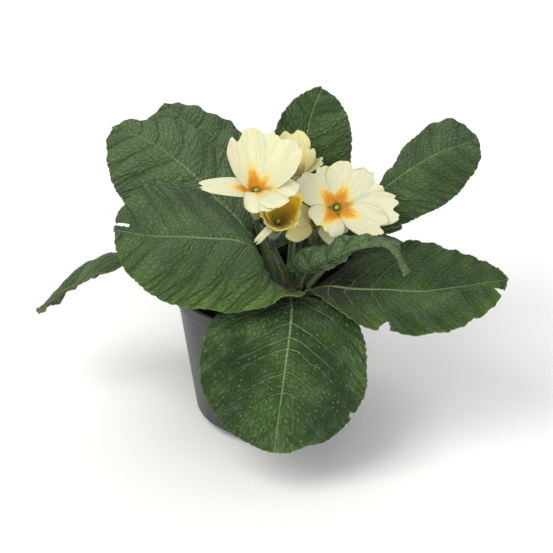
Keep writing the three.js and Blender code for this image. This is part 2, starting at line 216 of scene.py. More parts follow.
view = {"target": (3, 0, 70.6), "elevation": 29, "distance": 1000, "lens": 143.2, "sensor": 36}
lights = {  # in metres and watts, all aimed at the plant
    "key": {"place": (-0.55, -0.55, 0.95), "size": 0.7, "power": 10, "colour": "#fdfcf6"},
    "fill": {"place": (0.35, -1.0, 0.5), "size": 0.9, "power": 6, "colour": "#f6faff"},
    "rear": {"place": (0.25, 0.9, 0.8), "size": 0.7, "power": 5, "colour": "#ffffff"},
}
lightsAim = Vector((0, 0, 0.07))
studio = {"Color": "#ffffff", "Strength": 0.5}
floorForm = {"halfWidth": 4, "drop": 0.0002}  # in metres, just under the pot's foot

cameraData = bpy.data.cameras.new("camera")
cameraData.lens, cameraData.sensor_width = view["lens"], view["sensor"]
camera = addObject("camera", cameraData)
target = Vector(view["target"]) * mm
away = Vector((0, -cos(radians(view["elevation"])), sin(radians(view["elevation"]))))
camera.location = target + away * view["distance"] * mm
camera.rotation_euler = (-away).to_track_quat("-Z", "Y").to_euler()
bpy.context.scene.camera = camera

for name, light in lights.items():
    data = bpy.data.lights.new(name, "AREA")
    data.size, data.energy = light["size"], light["power"]
    data.color = toLinear(light["colour"])[:3]
    lamp = addObject(name, data)
    lamp.location = light["place"]
    lamp.rotation_euler = (lightsAim - lamp.location).to_track_quat("-Z", "Y").to_euler()

world = bpy.data.worlds.new("studio")
world.use_nodes = True
setNode(world.node_tree.nodes["Background"], studio)
bpy.context.scene.world = world
bpy.context.scene.view_settings.view_transform = "Standard"

# Uncoated paper scatters light evenly, so the floor shows soft shadows and no shine.
paper = grained("matte white paper", {"Roughness": 0.9, "Specular IOR Level": 0.1},
                {"scale": 900.0, "detail": 3.0, "stops": [(0.3, "#f3f3f2"), (0.7, "#f7f7f6")]})
bm = bmesh.new()
bmesh.ops.create_grid(bm, x_segments=2, y_segments=2, size=floorForm["halfWidth"])
floor = addObject("floor", toMesh(bm, "floor"))
floor.data.materials.append(paper)
floor.location = (0, 0, -floorForm["drop"])
print("camera, lights and floor ready")


# Pot: a moulded polypropylene nursery pot

pot = {"rimRadius": 45, "height": 70, "footRadius": 33.5, "footChamfer": 5, "wall": 1.2, "lipHeight": 8,
       "lipOut": 1.8, "corner": 0.9, "floor": 2, "footRing": 5, "footRise": 0.6, "holes": 8,
       "holeRadius": 3.5, "holeRing": 25, "drill": 12, "steps": 120, "crispAngle": 50}

# Moulding leaves polypropylene matte, with a faint even sheen that clouds along the height.
potPlastic, add, shader = newMaterial("moulded polypropylene", {"Roughness": 0.42, "IOR": 1.49})
spots = add("TexCoord").outputs["Object"]
tall = add("Mapping", Scale=(1.0, 1.0, 0.25), Vector=spots)
cloudy = add("TexNoise", Scale=90.0, Detail=4.0, Vector=tall)
grain = add("TexNoise", Scale=1800.0, Detail=2.0, Vector=spots)
setNode(shader, {
    "Base Color": add("ValToRGB", Fac=cloudy, stops=[(0.3, "#272b2d"), (0.7, "#313538")]),
    "Roughness": add("ValToRGB", Fac=cloudy, stops=[(0.3, 0.38), (0.7, 0.5)]),
    "Normal": add("Bump", Strength=0.25, Distance=0.0002, Height=grain)})


def makePot():
    rim, foot, height, wall = pot["rimRadius"], pot["footRadius"], pot["height"], pot["wall"]
    low, lip = pot["footChamfer"], height - pot["lipHeight"]

    def wallAt(z):  # the outer wall's radius at a height
        return foot + (rim - pot["lipOut"] - foot) * z / height

    sole = foot - low
    profile = [
        (0, pot["footRise"]), (sole - pot["footRing"] - 1, pot["footRise"]), (sole - pot["footRing"], 0),
        (sole, 0), (wallAt(low), low), (wallAt(lip), lip), (wallAt(lip) + pot["lipOut"], lip + 1.2),
        (rim - 0.3, height - 1.6), (rim, height), (rim - wall - 0.4, height), (rim - wall - 0.6, height - 2),
        (wallAt(lip) - wall, lip), (wallAt(low) - wall, low + pot["floor"]), (sole, pot["floor"]),
        (0, pot["floor"])]
    shell = addObject("shell", toMesh(lathe(rounded(profile, pot["corner"]), pot["steps"]), "shell"))
    bm = bmesh.new()
    for k in range(pot["holes"]):
        turn = (k + 0.5) / pot["holes"] * 2 * pi
        spot = Vector((cos(turn), sin(turn), 0)) * pot["holeRing"] * mm
        bmesh.ops.create_cone(bm, cap_ends=True, segments=32, radius1=pot["holeRadius"] * mm,
                              radius2=pot["holeRadius"] * mm, depth=pot["drill"] * mm,
                              matrix=Matrix.Translation(spot))
    drill = addObject("drill", toMesh(bm, "drill"))
    cut = shell.modifiers.new("holes", "BOOLEAN")
    cut.object, cut.solver = drill, "EXACT"
    mesh = bpy.data.meshes.new_from_object(shell.evaluated_get(bpy.context.evaluated_depsgraph_get()))
    mesh.name = "nurseryPot"
    for item in (shell, drill):
        bpy.data.objects.remove(item)
    crisp = addPiece(mesh, [potPlastic], "pot").modifiers.new("crisp edges", "EDGE_SPLIT")
    crisp.split_angle = radians(pot["crispAngle"])


makePot()
print("pot ready")


# Compost and rootstock

compost = {"level": 60.5, "crown": 1.5, "radius": 41, "rough": 1.3, "steps": 180, "rings": 64, "crumbs": 420,
           "crumbSize": (0.3, 0.9), "underside": [(0, 2.6), (27.5, 2.6), (31.8, 7.2)], "moat": 1.2,
           "moatDepth": 6, "seed": 7}
rootstock = {"x": 8, "y": 0, "radius": 7, "bottom": 48, "top": 67, "scar": 0.5, "steps": 64, "clearance": 0.4}

# Moist peat is nearly black brown, with clods to soak up light and pale grains of grit.
peat, add, shader = newMaterial("moist peat", {"Roughness": 0.95, "Specular IOR Level": 0.15})
spots = add("TexCoord").outputs["Object"]
clumps = add("TexNoise", Scale=220.0, Detail=6.0, Vector=spots)
grains = add("TexVoronoi", Scale=420.0, Vector=spots)
dark = add("ValToRGB", Fac=clumps, stops=[(0.3, "#17110c"), (0.55, "#2c2018"), (0.75, "#48382a")])
setNode(shader, {"Base Color": paint(add, dark, [(grains, [(0.0, 0.35), (0.12, 0.0)], "#b9ab92")]),
                 "Normal": add("Bump", Strength=0.8, Distance=0.0008, Height=clumps)})

# The crown is a knot of old leaf bases, dull and fibrous.
crown = grained("fibrous crown", {"Roughness": 0.85}, {
    "scale": 500.0, "detail": 5.0, "stops": [(0.3, "#2b2616"), (0.6, "#4c4a2c"), (0.8, "#6b693f")],
    "bump": (0.6, 0.0004)})


def makeCompost():
    level, radius, rings, moat, seed = (compost[key] for key in ("level", "radius", "rings", "moat", "seed"))
    profile = compost["underside"] + [(radius - 0.8, level - 1.5), (radius - 0.2, level)]
    profile += [(radius * k / rings, level) for k in range(rings - 1, 0, -1)] + [(0, level)]
    mesh = toMesh(lathe(profile, compost["steps"]), "peatCompost")
    spots = getSpots(mesh) / mm
    x, y = spots[:, 0], spots[:, 1]
    reach = np.hypot(x, y)
    lumps = (softNoise(x / 4.5, y / 4.5, seed) + 0.5 * softNoise(x / 1.7, y / 1.7, seed + 1)
             + 0.3 * softNoise(x / 0.8, y / 0.8, seed + 2)) / 1.8
    swell = compost["crown"] * np.cos(np.clip(reach / radius, 0, 1) * pi / 2)
    lift = swell + compost["rough"] * (lumps - 0.6) * np.clip((radius - reach) / 2, 0, 1)
    aside = np.hypot(x - rootstock["x"], y - rootstock["y"]) - rootstock["radius"] - rootstock["clearance"]
    lift = lift - compost["moatDepth"] * (1 - np.clip(aside / moat, 0, 1))  # a moat for the crown
    spots[:, 2] += np.where(spots[:, 2] > level - 0.5, lift, 0)
    setSpots(mesh, spots)
    bm = reopen(mesh)
    picks = np.random.default_rng(seed)
    for _ in range(compost["crumbs"]):  # loose crumbs and grit on the surface
        turn, far = picks.uniform(0, 2 * pi), radius * picks.uniform(0.05, 0.93) ** 0.6
        size = picks.uniform(*compost["crumbSize"])
        x, y = far * cos(turn), far * sin(turn)
        if np.hypot(x - rootstock["x"], y - rootstock["y"]) < rootstock["radius"] + 2:
            continue
        height = level + compost["crown"] * cos(far / radius * pi / 2) + 0.15
        stretch = Matrix.Diagonal((size, size * picks.uniform(0.5, 1), size * picks.uniform(0.4, 0.8), 1))
        turned = Matrix.Rotation(picks.uniform(0, pi), 4, "Z") @ stretch
        bmesh.ops.create_icosphere(bm, subdivisions=1, radius=mm,
                                   matrix=Matrix.Translation(Vector((x, y, height)) * mm) @ turned)
    addPiece(toMesh(bm, mesh), [peat], "compost")


def makeRootstock():
    radius, bottom, top = rootstock["radius"], rootstock["bottom"], rootstock["top"]
    profile = [(0, bottom), (0.6 * radius, bottom), (radius, bottom + 0.5 * radius),
               (radius, top - 0.35 * radius), (0.92 * radius, top - 0.12 * radius), (0.7 * radius, top),
               (0.3 * radius, top), (0, top)]
    bm = lathe(rounded(profile, 1.5), rootstock["steps"])
    bmesh.ops.subdivide_edges(bm, edges=[e for e in bm.edges if e.calc_length() > 2 * mm], cuts=3,
                              use_grid_fill=True)
    mesh = toMesh(bm, "crown")
    spots = getSpots(mesh) / mm
    turn, reach = np.arctan2(spots[:, 1], spots[:, 0]), np.hypot(spots[:, 0], spots[:, 1])
    bulge = rootstock["scar"] * (np.sin(9 * turn + 0.9 * spots[:, 2]) * 0.5 - 0.6
                                 + 0.5 * softNoise(turn * 6, spots[:, 2] / 1.5, 3))
    shrink = 1 + bulge * np.clip(reach / radius, 0, 1) / radius
    spots[:, 0] = rootstock["x"] + spots[:, 0] * shrink
    spots[:, 1] = rootstock["y"] + spots[:, 1] * shrink
    setSpots(mesh, spots)
    addPiece(mesh, [crown], "rootstock")


makeCompost()
makeRootstock()
print("compost and crown ready")


# Leaves: thin wrinkled blades, downy, with pale sunken veins on the upper side

leafForm = {"stalkHalfWidth": 1.5, "tipCrowding": 1.5, "blade": 0.35, "step": 0.5, "across": 1.1,
            "tooth": 0.5, "toothStep": 3.5, "marginWave": 1.8, "pucker": 1.5, "puckerReach": 3.2,
            "lump": 0.8, "groove": 0.4, "wave": 2.6, "ruffle": 1.5, "sideRidge": 0.3, "sideRidgeWidth": 0.7,
            "ribWidth": 1.1}

# What a leaf has where it says nothing else. Pairs are for its left and its right half. An ear pulls the
# foot of a half along a vector. A nick is half, place along the leaf, depth and half width.
# Shade paints shade into the leaf's colour, darkest at the stalk and gone at shadeReach along the leaf.
plainLeaf = {"face": (0, -0.2, 1), "blunt": (0.5, 0.5), "rise": (0, 0), "riseTip": (0, 0),
             "curl": (-10, -10), "ear": ((0, 0, 0), (0, 0, 0)),
             "veins": [0.0, 0.12, 0.26, 0.41, 0.56, 0.70, 0.83, 0.95], "nicks": [], "rib": 1.9, "relief": 1,
             "coarse": 1, "paintedSheen": 0, "yellow": (0, 0), "lines": 0.45, "specks": 0, "shade": 0.6,
             "shadeReach": 0.5}
# A leaf's grey value is a painted sheen: the grey of its down, put into its green where the leaf turns away.
leaves = {
    "leaf_front": {
        "midrib": [(7.05, -7.74, 64.5), (9.5, -24, 73.5), (9.5, -43, 73.5), (6, -60, 52), (2, -74, 25)],
        "stalk": 0.16, "half": (36, 38), "widest": (0.55, 0.52), "faceTip": (0, -1, 0.3), "specks": 0.7,
        "lines": 1.0, "shade": 1.2, "shadeReach": 0.42, "nicks": [(0, 0.80, 1.1, 0.7)],
        "veins": [0.0, 0.16, 0.31, 0.39, 0.46, 0.575, 0.69, 0.86]},
    "leaf_front_left": {
        "midrib": [(0.62, -4.98, 64.3), (-4, -10, 89), (-16, -14, 98), (-40, -17, 100), (-68, -18, 104)],
        "stalk": 0.12, "start": (0.05, 0.12), "ear": ((33, -10, 28), (0, 0, 0)), "half": (41, 35),
        "widest": (0.42, 0.6), "face": (0.4, 0, 1), "faceTip": (0, -0.25, 1), "rise": (-6, -20),
        "riseTip": (-8, 20), "curl": (-25, -5), "paintedSheen": 0.45, "yellow": (0.8, 0.2), "lines": 0.85,
        "shade": 0.3, "nicks": [(1, 0.9985, 6.5, 0.45)]},
    "leaf_left": {
        "midrib": [(-0.4, 2.9, 64.3), (-12, 12, 91), (-33, 26, 107), (-51, 38, 118), (-73, 52, 122)],
        "stalk": 0.25, "half": (32, 26), "widest": (0.5, 0.4), "face": (0.4, -0.5, 0.9),
        "faceTip": (-0.1, -0.45, 0.9), "rise": (5, -10), "riseTip": (-10, -10), "curl": (-20, -15),
        "paintedSheen": 0.8},
    "leaf_back_left": {
        "midrib": [(1.4, 5.95, 64.3), (-6, 26, 85), (-22, 50, 104), (-38, 70, 113), (-51, 88, 117)],
        "stalk": 0.25, "half": (28, 23), "widest": (0.6, 0.45), "face": (0.3, -0.6, 0.8),
        "faceTip": (0, -0.5, 0.9), "rise": (-5, -10), "riseTip": (-5, -10), "curl": (-10, -20), "paintedSheen": 0.6},
    "leaf_back": {
        "midrib": [(8.6, 8.9, 64.3), (12, 23, 90.3), (16, 38, 116.9), (19, 46, 130), (24, 56, 139)],
        "stalk": 0.35, "half": (17, 22), "widest": (0.4, 0.5), "blunt": (0.8, 0.5), "face": (0, -1, 0.3),
        "faceTip": (0, -0.9, 0.4), "rise": (12, 12), "riseTip": (12, 12), "curl": (0, 0), "paintedSheen": 0.35},
    "leaf_back_right": {
        "midrib": [(15.5, 4.7, 64.3), (30, 9.5, 88), (50, 17, 106), (73, 31, 116), (96, 44, 119)],
        "stalk": 0.3, "half": (22, 22.5), "widest": (0.85, 0.52), "blunt": (0.42, 0.5),
        "face": (-0.4, -0.4, 0.9), "faceTip": (0, -0.45, 0.9), "rise": (-5, -10), "riseTip": (-5, -10),
        "curl": (-20, -20), "paintedSheen": 0.3},
    "leaf_right": {
        "midrib": [(15.2, -2.9, 64.5), (29, -17, 76), (54, -27, 79.3), (78, -31, 82.7), (104, -33, 87.6)],
        "stalk": 0.2, "start": (0.08, 0.14), "half": (34, 30), "widest": (0.42, 0.5), "blunt": (0.75, 0.72),
        "face": (-0.1, -0.2, 1), "faceTip": (-0.1, -0.2, 1), "rise": (0, 26), "riseTip": (0, -8),
        "curl": (0, -8), "yellow": (0.35, 0.75), "lines": 0.7, "shade": 1.7, "shadeReach": 0.52,
        "nicks": [(1, 0.52, 4.5, 1.4), (1, 0.975, 3.5, 1.2)]},
    "leaf_far_left": {
        "midrib": [(0.35, -1.5, 64.5), (-25, 4, 80), (-65, 7, 80), (-90, 9, 68), (-108, 10, 47)],
        "stalk": 0.3, "half": (20, 24), "widest": (0.45, 0.5), "blunt": (0.6, 0.5), "face": (0.2, 0, 1),
        "faceTip": (-0.2, 0, 0.9), "rise": (5, -25), "riseTip": (5, -25), "curl": (0, -25), "paintedSheen": 0.6},
    "leaf_arched": {
        "midrib": [(13.1, -8, 64.5), (14.9, -15, 76.6), (17, -20, 83.5), (20.9, -24, 89.2), (26.9, -28, 93.9),
                   (34.5, -33, 101.6), (41.7, -37, 106.7), (49.3, -40, 108.8), (54.8, -43, 105.5),
                   (59.2, -45, 96.3)],
        "stalk": 0.2, "start": (0.2, 0.1), "ear": ((-5, 5, -9), (0, 0, 0)), "half": (11, 4),
        "widest": (0.2, 0.2), "blunt": (0.55, 0.5), "face": (-0.2, -0.9, 0.4), "faceTip": (0.3, -0.3, 0.9),
        "rise": (0, -50), "riseTip": (-20, -100), "curl": (-10, 0), "paintedSheen": 0.8, "rib": 0.4, "lines": 0,
        "shade": 0},
    "leaf_low_right": {
        "midrib": [(16.85, 0.9, 64.3), (29, 2, 78.5), (46, 10, 88), (60, 17, 87.5)],
        "stalk": 0.35, "half": (11, 3.8), "widest": (0.6, 0.6), "face": (-0.3, -0.4, 1),
        "faceTip": (0, -0.4, 1), "relief": 0.2},
    "leaf_rear_low_left": {
        "midrib": [(5.6, 7.5, 64.5), (1, 26, 73), (-7, 48, 74), (-14, 66, 60), (-18, 80, 40)],
        "stalk": 0.2, "half": (30, 30), "widest": (0.58, 0.58), "faceTip": (-0.1, 0.6, 0.7),
        "curl": (-12, -12), "coarse": 1.5},
    "leaf_rear_low_right": {
        "midrib": [(12, 6.7, 64.5), (24, 22, 75), (42, 38, 75), (56, 52, 64), (66, 62, 48)],
        "stalk": 0.2, "half": (28, 28), "widest": (0.58, 0.58), "faceTip": (0.4, 0.5, 0.7),
        "curl": (-12, -12), "coarse": 1.5},
}


# UV flatLeaf holds the millimetres / 100 along and across the flat leaf; veinGrid counts side veins along and
# 2.4 mm cells across. The veins attribute holds the side veins' spacing, where they have forked to, the
# distance to the margin and how plain they are; tone holds the painted grey sheen, the yellowness, the
# painted shade towards the stalk and the specks.
def leafParts(add):
    flat = add("UVMap", uv_map="flatLeaf")
    grid = add("UVMap", uv_map="veinGrid")
    along, aside, _ = add("SeparateXYZ", Vector=flat).outputs
    count = add("SeparateXYZ", Vector=grid)
    veins = add("Attribute", attribute_name="veins")
    tone = add("Attribute", attribute_name="tone")
    spacing, forked, margin = add("SeparateColor", Color=veins).outputs
    sheenShare, yellow, dark = add("SeparateColor", Color=tone).outputs
    aside = add("Math", aside, operation="ABSOLUTE")
    midrib = add("Math", aside, 100, operation="MULTIPLY")
    nearest = None
    for fork in (0, 1, -1):  # millimetres to the nearest side vein or its forks
        place = add("Math", forked, fork, count, operation="MULTIPLY_ADD")
        place = add("Math", place, 20, operation="ADD")
        far = add("Math", place, 0.5, operation="PINGPONG")
        far = add("Math", far, spacing, operation="MULTIPLY")
        if fork:
            far = add("Math", far, 0.12, operation="ADD")
            far = add("Math", nearest, far, operation="MINIMUM")
        nearest = far
    cells = add("Mapping", Scale=(5.0, 1.0, 1.0), Vector=grid)
    net, fine = (add("TexVoronoi", feature="DISTANCE_TO_EDGE", voronoi_dimensions="2D", Scale=scale,
                     Randomness=uneven, Vector=cells) for scale, uneven in ((1.0, 0.85), (2.6, 0.9)))
    return {"midrib": midrib, "sideVein": nearest, "net": net, "fine": fine, "along": along, "margin": margin,
            "lines": veins.outputs["Alpha"], "paintedSheen": sheenShare, "yellow": yellow, "dark": dark,
            "specks": tone.outputs["Alpha"]}


def leafRelief(add, shader, parts, spots, way):  # quilting between sunken veins; way -1 for the under side
    ribs = add("Math", parts["midrib"], 3, operation="DIVIDE")
    height = add("ValToRGB", Fac=parts["net"], stops=[(0.0, 0), (0.14, 0.4), (0.32, 0.82), (0.6, 1)])
    for part, share, stops in ((parts["fine"], 0.16, [(0.0, 0), (0.3, 1)]),
                               (parts["sideVein"], 0.9, [(0.0, 0), (0.35, 0.5), (0.9, 1)]),
                               (ribs, 0.8, [(0.0, 0), (0.3, 0.7), (0.8, 1)])):
        swell = add("ValToRGB", Fac=part, stops=stops)
        height = add("Math", swell, share, height, operation="MULTIPLY_ADD")
    quilt = add("Bump", Strength=0.8, Distance=0.0012 * way, Height=height)
    down = add("TexNoise", Scale=1500.0, Detail=2.0, Vector=spots)
    fuzz = add("Bump", Strength=0.3, Distance=0.0002, Height=down, Normal=quilt)
    setNode(shader, {"Normal": fuzz})


# Fine down over dark green tissue gives the upper side its grey bloom wherever it turns away; on some leaves
# that bloom is also painted into the colour as a grey sheen.
bladeTop, add, shader = newMaterial("downy leaf, upper side", {
    "Roughness": 0.62, "IOR": 1.4, "Specular IOR Level": 0.3, "Sheen Weight": 0.08, "Sheen Roughness": 0.45,
    "Sheen Tint": "#d6e4c4"})
spots = add("TexCoord").outputs["Object"]
parts = leafParts(add)
patches, mottle, bloom = (add("TexNoise", Scale=scale, Detail=detail, Vector=spots)
                          for scale, detail in ((50.0, 4.0), (700.0, 3.0), (160.0, 5.0)))
green = add("ValToRGB", Fac=patches, stops=[(0.34, "#263e19"), (0.5, "#375124"), (0.66, "#4e6b34")])
fading = add("Math", patches, 1.6, -0.2, operation="MULTIPLY_ADD")
fading = add("Math", parts["yellow"], fading, operation="MULTIPLY")
fading = add("Math", fading, 1.0, operation="MINIMUM")
# painted sheen: the grey of the down is mixed into the green, as far as each leaf's grey value says
green = paint(add, green, [(parts["paintedSheen"], None, "#677f55"), (fading, None, "#5b7b25")])
bright = add("ValToRGB", Fac=mottle, stops=[(0.3, 0.74), (0.7, 1.1)])
colour = add("MixRGB", blend_type="MULTIPLY", Fac=0.6, Color1=green, Color2=bright)

nearRib = add("Math", parts["midrib"], 30, operation="DIVIDE")  # side veins fade outwards
nearRib = add("ValToRGB", Fac=nearRib, stops=[(0.0, 1), (0.25, 0.8), (0.6, 0.35), (0.95, 0.05)])
plain = add("Math", nearRib, parts["lines"], operation="MULTIPLY")
sideLine = add("ValToRGB", Fac=parts["sideVein"], stops=[(0.08, 1), (0.34, 0)])
sideLine = add("Math", sideLine, plain, operation="MULTIPLY")
ribLine = add("Math", parts["along"], 0.75, parts["midrib"], operation="MULTIPLY_ADD")
ribLine = add("Math", ribLine, 2, operation="DIVIDE")  # thinner further out
ribLine = add("ValToRGB", Fac=ribLine, stops=[(0.28, 1), (0.52, 0)])
ribLine = add("Math", ribLine, 0.85, operation="MULTIPLY")
dots = add("TexVoronoi", Scale=420.0, Vector=spots)
dots = add("ValToRGB", Fac=dots, stops=[(0.1, 0.62), (0.26, 0)])
bloom = add("ValToRGB", Fac=bloom, stops=[(0.5, 0), (0.74, 0.26)])
specks = add("Math", dots, bloom, operation="MAXIMUM")
specks = add("Math", specks, parts["specks"], operation="MULTIPLY")
colour = paint(add, colour, [
    (parts["net"], [(0.0, 0.36), (0.14, 0.18), (0.36, 0)], "#1d3012"),  # painted shade in the hollows round the small domes
    (parts["sideVein"], [(0.1, 0.65), (1.0, 0)], "#1c2e13"),  # painted shade in the trough beside a side vein
    # painted shade at the stalk and towards the crown
    (parts["dark"], None, "#0f1a08"),
    (parts["margin"], [(0.1, 0.55), (0.35, 0.25), (0.7, 0)], "#6d8540"),
    (sideLine, None, "#7f9660"), (ribLine, None, "#879c6c"), (specks, None, "#7f9072")])
setNode(shader, {"Base Color": colour})
leafRelief(add, shader, parts, spots, 1)

# The under side is paler, because its down and raised veins scatter the light.
bladeUnder, add, shader = newMaterial("downy leaf, under side", {
    "Roughness": 0.75, "IOR": 1.4, "Specular IOR Level": 0.35, "Sheen Weight": 0.15, "Sheen Roughness": 0.5,
    "Sheen Tint": "#dfe8d0"})
spots = add("TexCoord").outputs["Object"]
parts = leafParts(add)
patches = add("TexNoise", Scale=90.0, Detail=4.0, Vector=spots)
green = add("ValToRGB", Fac=patches, stops=[(0.3, "#42552f"), (0.7, "#566a40")])
sideLine = add("ValToRGB", Fac=parts["sideVein"], stops=[(0.1, 0.8), (0.5, 0)])
ribLine = add("ValToRGB", Fac=parts["midrib"], stops=[(0.4, 1), (1.0, 0)])
plain = add("Math", parts["lines"], 2.5, operation="MULTIPLY")
plain = add("Math", plain, 1.0, operation="MINIMUM")
raised = add("Math", sideLine, ribLine, operation="MAXIMUM")
raised = add("Math", raised, plain, operation="MULTIPLY")
setNode(shader, {"Base Color": paint(add, green, [
    (parts["net"], [(0.0, 0.45), (0.12, 0)], "#6f8052"), (raised, None, "#84946a"),
    # painted shade at the stalk and towards the crown
    (parts["dark"], None, "#384722")])})
leafRelief(add, shader, parts, spots, -1)


def spineOf(points):  # a smooth line through the points, with its length table
    p = np.array(points, float)
    p = np.vstack([2 * p[0] - p[1], p, 2 * p[-1] - p[-2]])
    spots, headings = [], []
    for i in range(len(p) - 3):
        before, here, there, after = p[i:i + 4]
        leaving, arriving = 0.5 * (there - before), 0.5 * (after - here)
        t = np.linspace(0, 1, 160, endpoint=i == len(p) - 4)[:, None]
        square, cube = 3 * (there - here) - 2 * leaving - arriving, 2 * (here - there) + leaving + arriving
        spots.append(here + leaving * t + square * t ** 2 + cube * t ** 3)
        headings.append(leaving + 2 * square * t + 3 * cube * t ** 2)
    spots, headings = np.vstack(spots), unit(np.vstack(headings))
    reach = np.concatenate([[0], np.cumsum(np.linalg.norm(np.diff(spots, axis=0), axis=1))])
    return {"spots": spots, "headings": headings, "share": reach / reach[-1], "length": reach[-1]}


def onSpine(spine, s, key):
    return np.stack([np.interp(s, spine["share"], spine[key][:, k]) for k in range(3)], 1)


def bySide(pair, side):  # the left or the right half's value
    return np.array(pair, float)[side]


def bladeShare(leaf, s, side):  # 0 along the stalk, then 0 to 1 along the blade
    start = bySide(leaf.get("start", (leaf["stalk"], leaf["stalk"])), side)
    return np.clip((s - start) / (1 - start), 0, 1)


def halfWidth(leaf, s, side):
    t = bladeShare(leaf, s, side)
    widest, blunt = bySide(leaf["widest"], side), bySide(leaf["blunt"], side)
    swell = (t / widest) ** (blunt * widest / (1 - widest)) * ((1 - t) / (1 - widest)) ** blunt
    return np.hypot(leafForm["stalkHalfWidth"] * (1 - t), bySide(leaf["half"], side) * swell)


def arc(reach, rise, curl):  # out and up along an arc that starts at rise and turns by curl
    curl = np.where(np.abs(curl) < 1e-4, 1e-4, curl)
    end = rise + curl
    return reach * (np.sin(end) - np.sin(rise)) / curl, reach * (np.cos(rise) - np.cos(end)) / curl


def outlineOf(leaf, length, side):  # the margin of the flat leaf, its way out and length so far
    s = 1 - (1 - np.linspace(0, 1, 600)) ** 2
    u, w = s * length, halfWidth(leaf, s, np.full(s.shape, side))
    du, dw = np.gradient(u), np.gradient(w)
    norm = np.hypot(du, dw) + 1e-9
    run = np.concatenate([[0], np.cumsum(np.hypot(np.diff(u), np.diff(w)))])
    return {"s": s, "w": w, "outU": -dw / norm, "outW": du / norm, "run": run}


def veinsOf(leaf, u, w, side, length, seed):  # a running number for the nearest side vein, and the spacing
    blade, full = leaf["stalk"] * length, bySide(leaf["half"], side)
    count, spacing = np.zeros(u.shape), np.full(u.shape, 12.0)
    before = None
    for k, share in enumerate([-0.18] + leaf["veins"] + [1.12, 1.4]):
        start = blade + (share + 0.025 * (float(scatter(k + 1.0, 2.0, seed)) - 0.5)) * (length - blade)
        shift = 5.0 * (np.where(side == 0, scatter(k + 1.0, 4.0, seed), scatter(k + 1.0, 5.0, seed)) - 0.5)
        slope = 0.32 + 0.3 * share + 0.12 * (scatter(k + 3.0, side * 1.0, seed) - 0.5)
        line = start + shift * (1 - np.exp(-w / 2.5)) + slope * w + (0.42 - 0.2 * share) * w ** 2 / full
        line = line + 1.5 * (softNoise(w / 5, k * 3.0 + side * 7, seed + 4) - 0.5) * np.clip(w / 4, 0, 1)
        if before is not None:
            gap = np.maximum(line - before, 1.0)
            within = u >= before
            count = np.where(within, k - 1 + np.clip((u - before) / gap, 0, 1), count)
            spacing = np.where(within, gap, spacing)
        before = line
    lean = 0.5 + 0.8 * w / full
    return count, spacing / np.sqrt(1 + lean ** 2)


